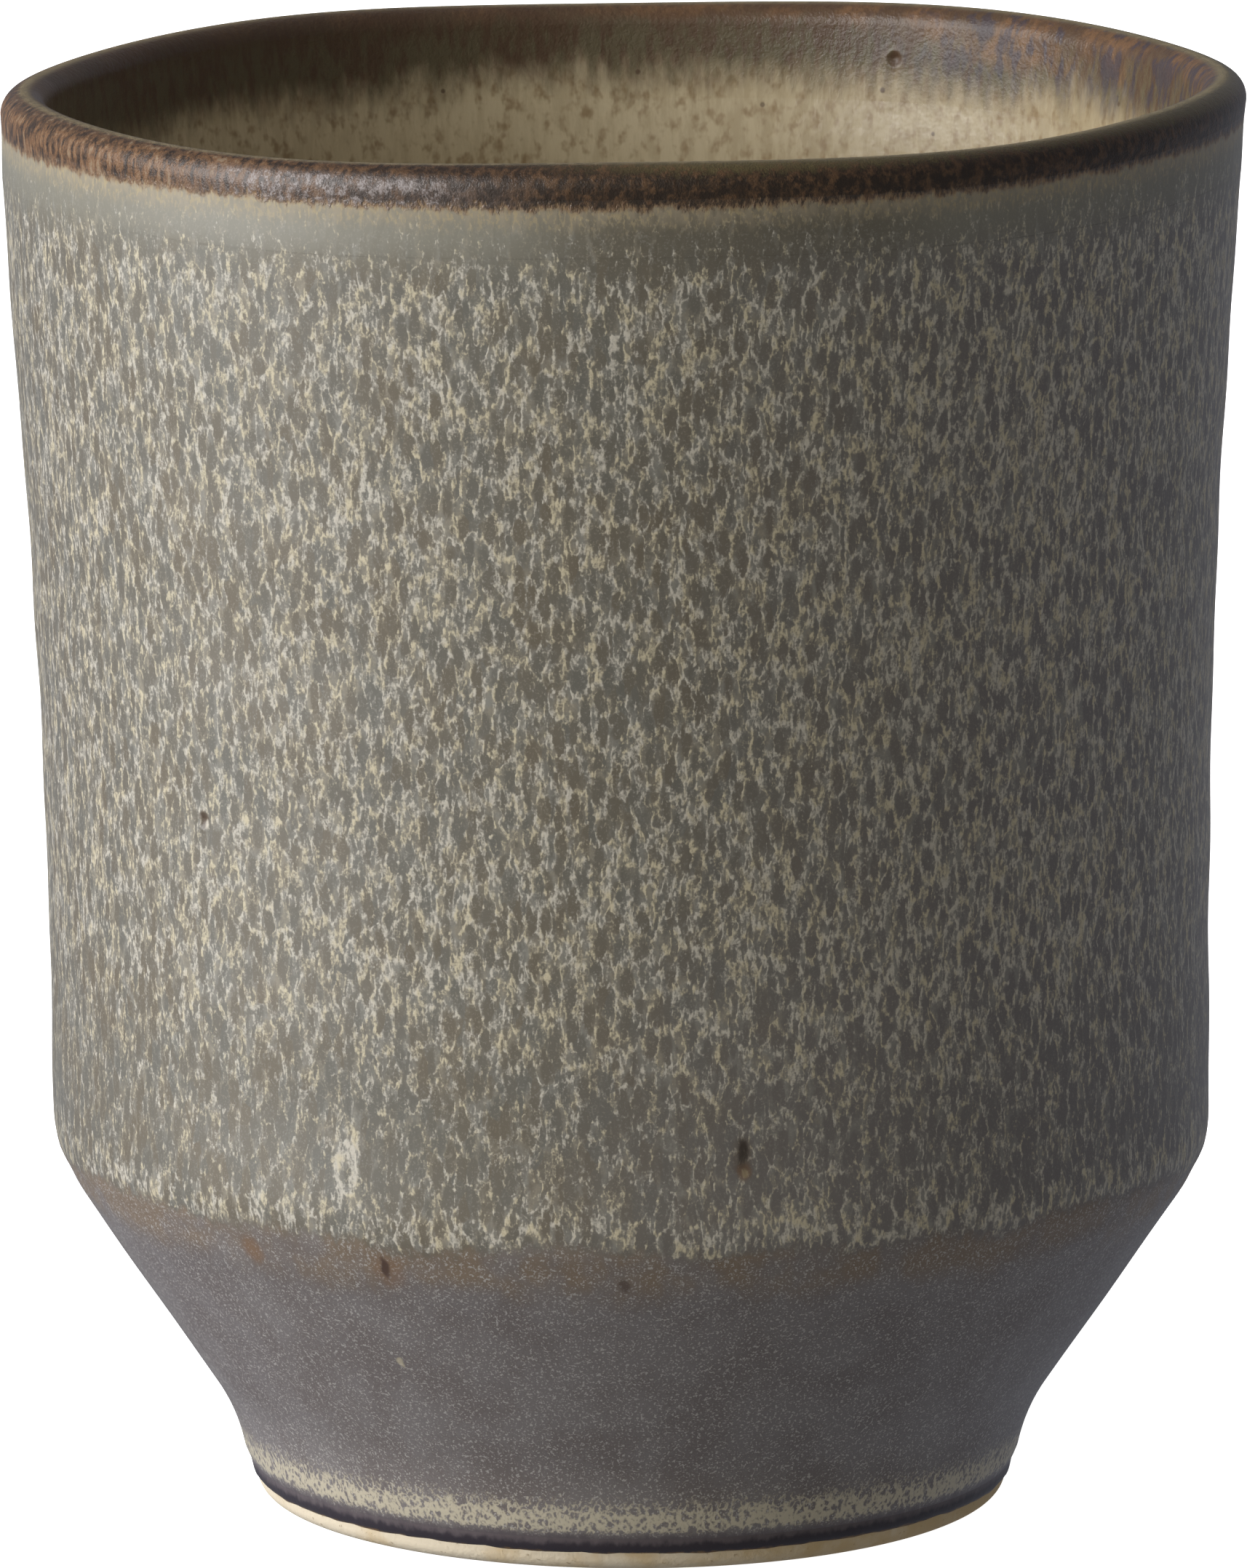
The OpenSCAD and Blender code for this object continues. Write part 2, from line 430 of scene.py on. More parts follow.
def wall_thickness(sizes, z):
    """Thickness of the flared wall at a height above the waist."""
    return sizes.wall_t + (sizes.lip_t - sizes.wall_t) * wall_rise(sizes, z)


def flare_heights(sizes, spacing):
    """Heights up the flared wall, from just above the waist to just below the lip's middle."""
    lip_z = sizes.height - sizes.lip_t / 2
    count = math.ceil((lip_z - sizes.waist_z) / spacing)
    return [sizes.waist_z + (lip_z - sizes.waist_z) * step / count for step in range(1, count)]


def underside_path(sizes, spacing):
    """The clay under the cup, from its axis across the hollow to the foot ring."""
    ring_in = sizes.foot_d / 2 - sizes.ring_w
    path = fine(rounded([
        (0, sizes.hollow_depth, 0),
        (ring_in - sizes.hollow_draft, sizes.hollow_depth, sizes.hollow_round),
        (ring_in, 0, sizes.foot_edge),
        (ring_in + sizes.ring_w / 2, 0, 0),
    ]), spacing)
    flat = ring_in - sizes.hollow_draft - sizes.hollow_round
    for point in path:
        fade = eased((flat - point.x) / TURNING_FADE)
        point.y += sizes.turning * math.sin(point.x / TURNING_WAVE) * fade
    return path


def outside_path(sizes, spacing):
    """The clay outside, from the foot ring on the table up to the lip."""
    waist_r = sizes.waist_d / 2
    base = rounded([
        (sizes.foot_d / 2 - sizes.ring_w / 2, 0, 0),
        (sizes.foot_d / 2, 0, sizes.foot_edge),
        (sizes.neck_d / 2, sizes.neck_z, sizes.cove_round),
        (waist_r, sizes.shoulder_z, sizes.shoulder_round),
        (waist_r, sizes.waist_z, 0),
    ])
    wall = [Vector((wall_radius(sizes, z), z)) for z in flare_heights(sizes, spacing)]
    return fine(base, spacing) + wall


def lip_path(sizes, steps):
    """The round lip, from outside over its top to the inside."""
    radius = sizes.lip_t / 2
    centre = Vector((sizes.rim_d / 2 - radius, sizes.height - radius))
    angles = [math.pi * step / steps for step in range(steps + 1)]
    return [centre + radius * Vector((math.cos(angle), math.sin(angle))) for angle in angles]


def inside_path(sizes, spacing):
    """The clay inside, from the lip down to the middle of the floor."""
    waist_r, neck_r = sizes.waist_d / 2, sizes.neck_d / 2
    lean = math.atan2(waist_r - neck_r, sizes.shoulder_z - sizes.neck_z)
    floor_z = sizes.hollow_depth + sizes.floor_t
    bowl_r = waist_r - sizes.wall_t
    bend_z = sizes.shoulder_z + sizes.wall_t * math.tan(lean / 2)
    bowl = rounded([
        (0, floor_z, 0),
        (bowl_r - (bend_z - floor_z) * math.tan(lean), floor_z, sizes.bowl_round),
        (bowl_r, bend_z, sizes.bowl_round),
        (bowl_r, sizes.waist_z, 0),
    ])
    wall = [
        Vector((wall_radius(sizes, z) - wall_thickness(sizes, z), z))
        for z in flare_heights(sizes, spacing)
    ]
    return list(reversed(fine(bowl, spacing) + wall))


def inside_parts(sizes, spacing):
    """The clay inside in two parts that share a point: under the iron band and under the liner."""
    path = inside_path(sizes, spacing)
    top = sizes.height - sizes.liner_top
    split = next(i for i, point in enumerate(path) if point.y < top)
    return path[:split + 1], path[split:]


def off_clay(path, amounts):
    """A path moved away from the clay, each point by its own amount."""
    moved = []
    for i, point in enumerate(path):
        along = (path[min(i + 1, len(path) - 1)] - path[max(i - 1, 0)]).normalized()
        moved.append(point + amounts[i] * Vector((along.y, -along.x)))
    return moved


def eased(share):
    """A smooth rise from 0 to 1."""
    share = min(max(share, 0), 1)
    return share * share * (3 - 2 * share)


def bead(share):
    """The rise of a rounded edge from 0 to 1."""
    share = min(max(share, 0), 1)
    return math.sqrt(1 - (1 - share) ** 2)


def coat_outline(path, under, thickness):
    """Closed outline of a coat: along its face and back along its seat.

    The thickness is a function of the distances from the two ends of the path.
    """
    runs = [0]
    for start, end in zip(path, path[1:]):
        runs.append(runs[-1] + (end - start).length)
    face = off_clay(path, [under + thickness(run, runs[-1] - run) for run in runs])
    seat = off_clay(path, [under] * len(path))
    outline = face + [seat[-1]] + seat[-2:0:-SEAT_STRIDE] + [seat[0]]
    return [point for i, point in enumerate(outline) if (point - outline[i - 1]).length > WELD]


def spun(name, outline, closed=True):
    """Lays edges along an outline of (radius, height) points and spins them round the cup's axis."""
    bpy.ops.object.select_all(action="DESELECT")
    bpy.ops.mesh.primitive_circle_add(vertices=len(outline), radius=MM)
    piece = bpy.context.object
    piece.name = name
    piece.data.name = name
    ends = {0, len(outline) - 1}
    for vertex, point in zip(piece.data.vertices, outline):
        vertex.co = (point.x, 0, point.y)
        vertex.select = vertex.index in ends
    for edge in piece.data.edges:
        edge.select = set(edge.vertices) == ends
    bpy.ops.object.mode_set(mode="EDIT")
    bpy.ops.mesh.select_mode(type="EDGE")
    if not closed:
        bpy.ops.mesh.delete(type="EDGE")
    bpy.ops.mesh.select_all(action="SELECT")
    bpy.ops.mesh.spin(steps=ROUND_STEPS, angle=2 * math.pi, center=(0, 0, 0), axis=(0, 0, 1))
    bpy.ops.mesh.select_all(action="SELECT")
    bpy.ops.mesh.remove_doubles(threshold=WELD)
    bpy.ops.mesh.normals_make_consistent(inside=False)
    bpy.ops.object.mode_set(mode="OBJECT")
    bpy.ops.object.shade_smooth_by_angle(angle=math.radians(50))
    return piece


def read_points(piece):
    """A piece's points as rows of x, y and z."""
    points = np.empty(len(piece.data.vertices) * 3)
    piece.data.vertices.foreach_get("co", points)
    return points.reshape(-1, 3)


def write_points(piece, points):
    """Puts a piece's points back after they were moved."""
    piece.data.vertices.foreach_set("co", points.ravel())
    piece.data.update()


def wander(angle, waves, seed):
    """A wavering line round the cup, about -1 to 1: waves of the given counts, at seeded turns."""
    turns = np.random.default_rng(seed).uniform(0, 2 * math.pi, len(waves))
    return sum(np.sin(count * angle + turn) for count, turn in zip(waves, turns)) / math.sqrt(len(waves))


def ragged(piece, level, reach, amount, waves, seed):
    """Lets the edge of a coat near a height waver up and down, less and less with distance from it."""
    points = read_points(piece)
    angle = np.arctan2(points[:, 1], points[:, 0])
    near = np.clip(1 - np.abs(points[:, 2] - level) / reach, 0, 1)
    points[:, 2] += amount * near * wander(angle, waves, seed)
    write_points(piece, points)


def by_hand(piece, sizes):
    """Moves a piece's points as the potter's hands did: soft rings, a leaning wall, a waving rim.

    The rings fade out towards the foot and the lip, and the lip comes back by half of the wall's lean.
    """
    points = read_points(piece)
    x, y, z = points.T.copy()
    angle = np.arctan2(y, x)
    up = np.clip((z - sizes.shoulder_z) / (sizes.height - sizes.shoulder_z), 0, 1)
    rings = np.sin(z / RING_WAVES[0] + angle) + 0.8 * np.sin(z / RING_WAVES[1] + 2 * angle + 1.3)
    swell = sizes.rings * rings * np.clip(z / RING_GROWTH - 0.3, 0, 1) * (1 - up ** 6)
    lean = sizes.lean * (up ** 2 / (up + 0.06) - 0.42 * up ** 8)
    points[:, 0] += swell * np.cos(angle) - lean
    points[:, 1] += swell * np.sin(angle)
    lobes = np.cos(RIM_LOBES * np.arctan2(x, y))
    points[:, 2] += math.tan(sizes.rim_tilt) * x * up ** 2 - sizes.rim_wave * lobes * up ** 5
    write_points(piece, points)


def pitted(piece, turn, height, width, length, depth, inside=False):
    """Sinks a small oval pit with a raised rim into a coat's face, at a turn and a height."""
    out = Vector((math.sin(turn), -math.cos(turn), 0))
    side = Vector((math.cos(turn), math.sin(turn), 0))
    facing = -out if inside else out
    bpy.ops.object.select_all(action="DESELECT")
    piece.select_set(True)
    bpy.context.view_layer.objects.active = piece
    bpy.ops.object.mode_set(mode="EDIT")
    bpy.ops.mesh.select_mode(type="FACE")
    bpy.ops.mesh.select_all(action="DESELECT")
    bpy.ops.object.mode_set(mode="OBJECT")
    for face in piece.data.polygons:
        close = abs(face.center.dot(side)) < 1.2 * width and abs(face.center.z - height) < 1.2 * length
        face.select = close and face.center.dot(out) > 0 and face.normal.dot(facing) > 0.7
    bpy.ops.object.mode_set(mode="EDIT")
    bpy.ops.mesh.subdivide(number_cuts=PIT_CUTS)
    bpy.ops.object.mode_set(mode="OBJECT")
    near = {index for face in piece.data.polygons if face.select for index in face.vertices}
    for index in near:
        point = piece.data.vertices[index].co
        share = Vector((point.dot(side) / width, (point.z - height) / length)).length * 2
        rim = 0.15 * math.exp(-((share - 1.2) / 0.25) ** 2)
        point += facing * depth * (rim - eased(1.15 - share))
    piece.data.update()


def set_inputs(tree, node, inputs):
    """Sets inputs of a node, to values or to sockets that they are linked from."""
    for name, value in inputs.items():
        if isinstance(value, bpy.types.NodeSocket):
            tree.links.new(value, node.inputs[name])
        else:
            node.inputs[name].default_value = value


def add_node(tree, kind, inputs=None, **settings):
    """A new node with its settings and its inputs."""
    node = tree.nodes.new(kind)
    for name, value in settings.items():
        setattr(node, name, value)
    set_inputs(tree, node, inputs or {})
    return node


# What a surface shows: its colour, its roughness and its relief in millimetres
Look = namedtuple("Look", "colour rough relief")


class GlazeMix:
    """A material being mixed: short ways to add its nodes and join them, with lengths in millimetres.

    The depth is measured down from the tilted rim, and the radius from the middle of the leaning lip.
    """

    def __init__(self, name, sizes):
        self.material = bpy.data.materials.new(name)
        self.material.use_nodes = True
        self.tree = self.material.node_tree
        self.tree.nodes.clear()
        self.spot = self.add("ShaderNodeTexCoord").outputs["Object"]
        split = self.add("ShaderNodeSeparateXYZ", {0: self.spot})
        self.across, self.along, self.height = [
            self.times(split.outputs[axis], 1 / MM) for axis in ("X", "Y", "Z")
        ]
        lip_x = self.maths("ADD", self.across, LIP_LEAN * sizes.lean / MM)
        squares = self.total(self.times(self.along, self.along), (lip_x, lip_x))
        self.radius = self.maths("SQRT", squares)
        level = self.add(
            "ShaderNodeVectorMath", {0: self.spot, 1: (-math.tan(sizes.rim_tilt), 0, 1)},
            operation="DOT_PRODUCT")
        self.lip_r = (sizes.rim_d - sizes.lip_t) / 2 / MM
        self.depth = self.maths("MULTIPLY_ADD", level.outputs["Value"], -1 / MM, sizes.height / MM)

    def add(self, kind, inputs=None, **settings):
        """A new node of this material."""
        return add_node(self.tree, kind, inputs, **settings)

    def maths(self, operation, first, second=0.0, third=0.0):
        """The result of a Math node."""
        return self.add("ShaderNodeMath", {0: first, 1: second, 2: third}, operation=operation).outputs[0]

    def total(self, start, *terms):
        """A sum of sockets, each times its weight."""
        for socket, weight in terms:
            start = self.maths("MULTIPLY_ADD", socket, weight, start)
        return start

    def times(self, product, *parts):
        """A product of sockets and numbers."""
        for part in parts:
            product = self.maths("MULTIPLY", product, part)
        return product

    def ramp(self, value, low, high, start=0.0, end=1.0):
        """A smooth step from one value to another between two levels."""
        node = self.add(
            "ShaderNodeMapRange",
            {"Value": value, "From Min": low, "From Max": high, "To Min": start, "To Max": end},
            interpolation_type="SMOOTHSTEP")
        return node.outputs["Result"]

    def mix(self, share, first, second):
        """One colour laid over another."""
        first, second = [
            part if isinstance(part, bpy.types.NodeSocket) else (*part, 1.0) for part in (first, second)
        ]
        return self.add("ShaderNodeMix", {0: share, 6: first, 7: second}, data_type="RGBA").outputs[2]

    def between(self, share, first, second):
        """A value between two others."""
        return self.add("ShaderNodeMix", {0: share, 2: first, 3: second}, data_type="FLOAT").outputs[0]

    def over(self, share, first, second):
        """One look laid over another."""
        return Look(
            self.mix(share, first.colour, second.colour),
            self.between(share, first.rough, second.rough),
            self.between(share, first.relief, second.relief),
        )

    def placed(self, size, stretch, shift, spot):
        """Coordinates for a pattern of a size in millimetres, drawn out up the wall."""
        scale = (1 / (size * MM), 1 / (size * MM), 1 / (size * stretch * MM))
        node = self.add(
            "ShaderNodeVectorMath", {0: spot or self.spot, 1: scale, 2: (shift, 2 * shift, 3 * shift)},
            operation="MULTIPLY_ADD")
        return node.outputs[0]

    def stirred(self, size, amount, shift):
        """Object coordinates pushed about by clouds, so that a pattern on them runs and wavers."""
        clouds = self.add(
            "ShaderNodeTexNoise",
            {"Vector": self.placed(size, 1.0, shift, None), "Scale": 1.0, "Detail": 1.0})
        centred = self.add(
            "ShaderNodeVectorMath", {0: clouds.outputs["Color"], 1: (0.5, 0.5, 0.5)}, operation="SUBTRACT")
        reach = [2 * amount * MM] * 3
        pushed = self.add(
            "ShaderNodeVectorMath", {0: centred.outputs[0], 1: reach, 2: self.spot},
            operation="MULTIPLY_ADD")
        return pushed.outputs[0]

    def clouds(self, size, stretch=1.0, detail=2.0, roughness=0.5, shift=0.0, spot=None):
        """Cloudy noise of a size in millimetres, mostly between 0.3 and 0.7."""
        node = self.add(
            "ShaderNodeTexNoise",
            {"Vector": self.placed(size, stretch, shift, spot), "Scale": 1.0, "Detail": detail,
             "Roughness": roughness})
        return node.outputs["Fac"]

    def cells(self, size, stretch=1.0, shift=0.0, spot=None):
        """Cells of a size in millimetres: distances from middle and border, and each cell's own value."""
        place = {"Vector": self.placed(size, stretch, shift, spot), "Scale": 1.0}
        node = self.add("ShaderNodeTexVoronoi", place)
        border = self.add("ShaderNodeTexVoronoi", place, feature="DISTANCE_TO_EDGE")
        own = self.add("ShaderNodeSeparateColor", {0: node.outputs["Color"]})
        return node.outputs["Distance"], border.outputs["Distance"], own.outputs[0]

    def mark(self, turn, height, radius, width, length, spot=None):
        """A soft oval mark, 1 in its middle: turn in degrees from the front, sizes in millimetres."""
        angle = math.radians(turn)
        place = Vector((radius * math.sin(angle), -radius * math.cos(angle), height)) * MM
        local = self.add(
            "ShaderNodeMapping",
            {"Vector": spot or self.spot, "Location": place, "Rotation": (0, 0, angle),
             "Scale": (width / 2 * MM, 3 * MM, length / 2 * MM)},
            vector_type="TEXTURE")
        reach = self.add("ShaderNodeVectorMath", {0: local.outputs[0]}, operation="LENGTH")
        return self.ramp(reach.outputs["Value"], 0.5, 1.2, 1, 0)

    def finish(self, look, specular):
        """Joins a look to the shader."""
        bump = self.add("ShaderNodeBump", {"Strength": 1.0, "Distance": MM, "Height": look.relief})
        shader = self.add(
            "ShaderNodeBsdfPrincipled",
            {"Base Color": look.colour, "Roughness": look.rough, "Normal": bump.outputs[0],
             "Specular IOR Level": specular})
        self.add("ShaderNodeOutputMaterial", {"Surface": shader.outputs[0]})
        return self.material


def lip_look(mix, colours):
    """Dark iron glaze on the lip: mottled brown, rust drips at the left, a patch of pale crystals that is
    partly a painted highlight.
    """
    drips = mix.clouds(0.55, stretch=2.8, detail=3, roughness=0.6, shift=11)
    mottle = mix.clouds(0.6, stretch=1.2, detail=4, roughness=0.65, shift=13)
    speckle = mix.clouds(0.13, stretch=1.2, detail=2, roughness=0.6, shift=15)
    left = mix.ramp(mix.across, -34, 2, 1.0, 0.0)
    middle = mix.times(mix.ramp(mix.across, -14, 0), mix.ramp(mix.across, 8, 24, 1, 0))
    dark = mix.mix(mix.ramp(mottle, 0.43, 0.66), colours.iron, colours.iron_brown)
    warm = mix.total(mix.times(left, 0.1), (drips, 0.8), (speckle, 0.2))
    slope = mix.ramp(mix.depth, -0.15, 0.4, 0.55, 1)
    rusting = mix.times(mix.ramp(left, 0, 1, 0.25, 0.9), slope)
    rust = mix.times(mix.ramp(warm, 0.5, 0.68), rusting)
    burnt = mix.times(mix.ramp(mottle, 0.48, 0.68), mix.ramp(middle, 0, 1, 0.15, 0.35))
    rusty = mix.mix(mix.maths("MAXIMUM", rust, burnt), dark, colours.rust)
    tan = mix.times(mix.ramp(warm, 0.64, 0.78), mix.ramp(left, 0.4, 1, 0, 0.45))
    streaked = mix.mix(tan, rusty, colours.band_edge)
    # A patch of pale crystals on the front of the lip, partly a painted highlight, with a darker veil round
    # its grains
    front = mix.ramp(mix.along, -12, -20)
    highlight_patch = mix.times(mix.ramp(mix.across, -32, -23), mix.ramp(mix.across, -14, -3, 1, 0))
    pale = mix.times(highlight_patch, front, mix.ramp(mottle, 0.36, 0.6, 0.5, 1), mix.ramp(mix.depth, 0.15, 0.7))
    grains_and_highlight = mix.ramp(mix.total(pale, (speckle, 1)), 1.24, 1.66, 0, 0.68)
    veiled = mix.mix(mix.times(pale, 0.5), streaked, colours.taper_dusk)
    frosted_and_highlit = mix.mix(grains_and_highlight, veiled, colours.frost_and_highlight)
    olive = mix.ramp(mix.across, -14, 10)
    rise = mix.total(mix.depth, (mottle, 1.6), (speckle, 1.2), (olive, -0.6))
    crest = mix.times(
        mix.ramp(rise, 0.7, 1.4, 1, 0), mix.ramp(olive, 0, 1, 0.1, 0.9),
        mix.ramp(speckle, 0.35, 0.65, 0.55, 1))
    off_top = mix.total(-mix.lip_r, (mix.radius, 1), (speckle, 0.5))
    top = mix.ramp(off_top, 0.35, 0.75, 1, 0)
    worn = mix.times(top, mix.ramp(mottle, 0.35, 0.6, 0.45, 0.85))
    return Look(
        mix.mix(worn, mix.mix(crest, frosted_and_highlit, colours.crest), colours.lip_worn),
        mix.between(worn, mix.between(rust, 0.34, 0.42), 0.6),
        mix.total(0.0, (speckle, 0.04), (mottle, 0.06), (drips, 0.03)),
    )


def inner_look(mix, colours):
    """Olive-brown glaze inside the lip, streaked down the wall, with rust and dusk in places."""
    streaks = mix.clouds(0.6, stretch=3.5, detail=4, roughness=0.6, shift=17)
    clouds = mix.clouds(5.0, stretch=1.5, detail=2, shift=19)
    grit = mix.clouds(0.35, detail=3, roughness=0.6, shift=5)
    patchy = mix.clouds(4.0, detail=2, shift=21)
    warm = mix.total(-0.25, (streaks, 1), (clouds, 0.5))
    tone = mix.mix(mix.ramp(warm, 0.36, 0.6), colours.iron_brown, colours.inner_band)
    right = mix.ramp(mix.across, 12, 26)
    edge = mix.ramp(mix.total(mix.depth, (streaks, 2.4), (right, -2.5)), 1.3, 2.6, 1, 0)
    rim = mix.ramp(mix.total(mix.depth, (streaks, 1.6)), 0.8, 3.4, 0.85, 0)
    tone = mix.mix(rim, tone, colours.iron_brown)
    rust = mix.times(
        edge, mix.ramp(mix.across, -25, 12, 0.3, 1), mix.ramp(patchy, 0.42, 0.6, 0.15, 0.75),
        mix.ramp(streaks, 0.38, 0.6, 0.3, 1))
    veins = mix.total(0.0, (mix.clouds(0.8, stretch=2.5, detail=3, shift=23), 0.7), (clouds, 0.3))
    dusk = mix.times(right, mix.ramp(veins, 0.48, 0.58, 0, 0.75))
    return Look(
        mix.mix(dusk, mix.mix(rust, tone, colours.rust), colours.dusk),
        mix.ramp(clouds, 0.35, 0.65, 0.34, 0.44),
        mix.total(0.0, (grit, 0.07), (clouds, 0.08)),
    )


def liner_look(mix, colours):
    """Cream glaze with many soft brown spots, streaked down the wall, darker towards the right."""
    spots = mix.clouds(0.75, stretch=1.4, detail=2, roughness=0.55, shift=51)
    runs = mix.clouds(0.7, stretch=4.5, detail=4, roughness=0.6, shift=53)
    peel = mix.clouds(0.9, detail=2, shift=55)
    shade = mix.ramp(mix.across, -12, 22, 0, 0.8)
    streak = mix.total(shade, (mix.ramp(runs, 0.38, 0.66, 0, 0.42), 1))
    brown = mix.ramp(mix.total(0.0, (spots, 0.85), (runs, 0.15)), 0.47, 0.72, 0, 0.8)
    return Look(
        mix.mix(brown, mix.mix(streak, colours.liner, colours.liner_dusk), colours.liner_brown),
        mix.ramp(peel, 0.3, 0.7, 0.28, 0.38),
        mix.total(0.0, (peel, 0.04), (runs, 0.03)),
    )


def marked(mix, colour, radius, marks, spot=None):
    """Lays single marks over a colour, each a row of turn, height, width, length, share and shade."""
    for turn, height, width, length, share, shade in marks:
        place = mix.mark(turn, height, radius, width, length, spot)
        colour = mix.mix(mix.times(place, share), colour, shade)
    return colour


def outer_marks(mix, colours, colour, run):
    """The single marks outside: a dark spot with its amber tail, a pit on the wall filled with painted
    shade and a pale spot of painted light, and rust below.
    """
    colour = marked(mix, colour, radius=37.2, spot=run, marks=(
        (10.8, 28.9, 1.0, 1.5, 0.6, colours.rust),
        (10.9, 28.75, 0.45, 0.7, 0.7, colours.gilt),
        (10.6, 29.9, 1.5, 3.0, 0.45, colours.iron_brown),
        (10.6, 30.1, 0.75, 1.9, 0.9, colours.iron),
        # The pit on the wall: painted shade fills it, and a pale spot of painted light sits low in it
        (-45.0, 49.4, 0.9, 1.25, 0.8, colours.iron_brown),
        (-44.7, 49.15, 0.45, 0.6, 0.8, colours.crystal_pale),
    ))
    colour = marked(mix, colour, radius=36.6, spot=run, marks=(
        (-24.8, 21.6, 2.6, 2.8, 0.4, colours.rust),
        (-25.1, 21.9, 0.7, 1.7, 0.9, colours.rust_spot),
        (-41.0, 21.8, 1.9, 2.2, 0.5, colours.rust),
        (-0.6, 21.4, 0.9, 1.1, 0.6, colours.rust_spot),
    ))
    return marked(mix, colour, radius=31.5, spot=run, marks=(
        (-27.3, 14.7, 0.5, 0.8, 0.6, colours.crystal),
    ))


def outer_look(mix, colours):
    """The outside by height: foot line, cream fringe, taper, mottled wall, plain band and dark lip."""
    # Where the zones lie, each with a wavering edge
    half = mix.clouds(0.8, stretch=2.5, detail=3, roughness=0.6, shift=71)
    swing = mix.clouds(9.0, detail=1, shift=73)
    shoulder = mix.total(mix.height, (half, 2.0), (swing, 3.0))
    foot = mix.total(mix.height, (mix.clouds(0.5, stretch=1.5, detail=3, shift=81), 0.9))
    lip = mix.total(mix.depth, (mix.clouds(0.8, stretch=1.6, detail=4, roughness=0.65, shift=61), 1.4))
    wall = mix.ramp(shoulder, 25.3, 26.5)
    plain = mix.ramp(lip, 4.4, 8.4, 1, 0)
    below = mix.ramp(foot, 2.65, 3.25, 1, 0)

    # Cells and clouds that ground and crystals share
    patches = mix.clouds(4.5, stretch=1.3, detail=2, shift=37)
    clumps = mix.clouds(3.0, stretch=1.4, detail=2, shift=43)
    run = mix.stirred(0.9, 0.22, 29)
    middle, border, own = mix.cells(0.86, stretch=2.5, shift=35, spot=run)
    drops = mix.times(mix.ramp(middle, 0.12, 0.58, 1, 0), mix.ramp(own, 0.0, 0.6, 0.4, 1.0))
    kind = mix.ramp(mix.total(own, (patches, 2.0)), 0.8, 2.4)
    grain = mix.clouds(0.22, stretch=1.9, detail=2, roughness=0.55, shift=39)

    # The ground of each zone
    tone = mix.ramp(mix.total(0.0, (patches, 0.35), (clumps, 0.3), (grain, 0.35)), 0.42, 0.58)
    taper = mix.mix(tone, colours.taper, colours.taper_dusk)
    toasted = mix.times(mix.ramp(shoulder, 21.5, 24.5), mix.ramp(clumps, 0.36, 0.6, 0.2, 0.9))
    browned = mix.mix(toasted, taper, colours.brown)
    lower = mix.ramp(mix.height, 26, 55, 1, 0)
    right = mix.ramp(mix.total(mix.across, (lower, 10)), -2, 27)
    deep = mix.mix(kind, colours.ground, colours.ground_brown)
    deep = mix.mix(mix.times(right, 0.9), deep, colours.ground_cool)
    walled = mix.mix(wall, browned, deep)
    # Painted shade: a soft dark oval over the plain band, right of the middle
    shaded = mix.times(mix.mark(10, 86, 39, 30, 22), 0.8)
    banded = mix.mix(plain, walled, mix.mix(shaded, colours.band, colours.band_shade))
    gapped = mix.mix(below, banded, colours.foot_gap)
    ground = mix.mix(mix.ramp(foot, 2.15, 2.65, 1, 0), gapped, colours.foot_line)

    # How thickly the crystals grow, as a haze and as threads
    runs = mix.clouds(1.2, stretch=3.0, detail=1, shift=33)
    blots = mix.clouds(0.45, stretch=3.0, detail=1, shift=31, spot=run)
    ridges = mix.maths("ABSOLUTE", mix.total(-0.5, (blots, 1)))
    low = mix.ramp(mix.height, 27, 42, -0.055, 0.0)
    verge = mix.times(wall, mix.ramp(shoulder, 27.3, 29.8, 1, 0))
    streak = mix.mark(-28.5, 28.8, 37.2, 2.2, 6.6, run)
    density = mix.total(
        low, (wall, 0.2), (verge, 0.065), (plain, -0.105), (below, -0.8), (streak, 0.12), (right, 0.026))
    seams = mix.times(mix.ramp(border, 0.0, 0.22, 1, 0), mix.ramp(blots, 0.36, 0.6, 0.3, 1))
    fine_grain = mix.clouds(0.14, detail=2, shift=41)
    cover = mix.total(
        density, (runs, 0.16), (blots, 0.25), (grain, 0.22), (fine_grain, 0.12),
        (drops, -0.24), (seams, 0.05))
    threads = mix.total(
        density, (runs, 0.08), (ridges, -0.95), (grain, 0.42), (fine_grain, 0.24),
        (drops, -0.14), (seams, 0.075))

    # The crystals and flecks on the ground, then the lace above the foot and the single marks
    turned = mix.times(mix.ramp(mix.across, -28, 12, 0.8, 1.0), mix.ramp(right, 0, 1, 1.0, 0.83))
    haze = mix.ramp(cover, 0.45, 0.73, 0, 0.64)
    crystals = mix.times(mix.ramp(threads, 0.485, 0.68, 0, 1.0), turned)
    dust = mix.total(0.0, (grain, 0.4), (fine_grain, 0.6))
    bare = mix.total(1.0, (below, -1), (wall, -0.55))
    flecks = mix.times(mix.ramp(dust, 0.515, 0.63, 0, 0.85), bare)
    tint = mix.clouds(0.9, stretch=1.7, detail=2, roughness=0.6, shift=45)
    cool = mix.total(tint, (right, -0.12))
    thin = mix.mix(mix.ramp(cool, 0.4, 0.6), colours.haze_cool, colours.haze)
    cream = mix.mix(mix.ramp(tint, 0.42, 0.6), colours.crystal_pale, colours.crystal)
    colour = mix.mix(flecks, ground, mix.mix(wall, colours.taper_fleck, thin))
    colour = mix.mix(haze, colour, thin)
    colour = mix.mix(crystals, colour, cream)
    twigs = mix.clouds(0.5, stretch=1.3, detail=2, shift=83)
    branches = mix.maths("ABSOLUTE", mix.total(-0.5, (twigs, 1)))
    level = mix.times(mix.ramp(mix.height, 2.3, 3.1), mix.ramp(mix.height, 3.3, 6.3, 1, 0))
    lace = mix.ramp(mix.total(level, (branches, -5.5), (grain, 1.0)), 0.62, 1.3, 0, 0.9)
    colour = mix.mix(lace, colour, colours.lace)
    colour = outer_marks(mix, colours, colour, run)

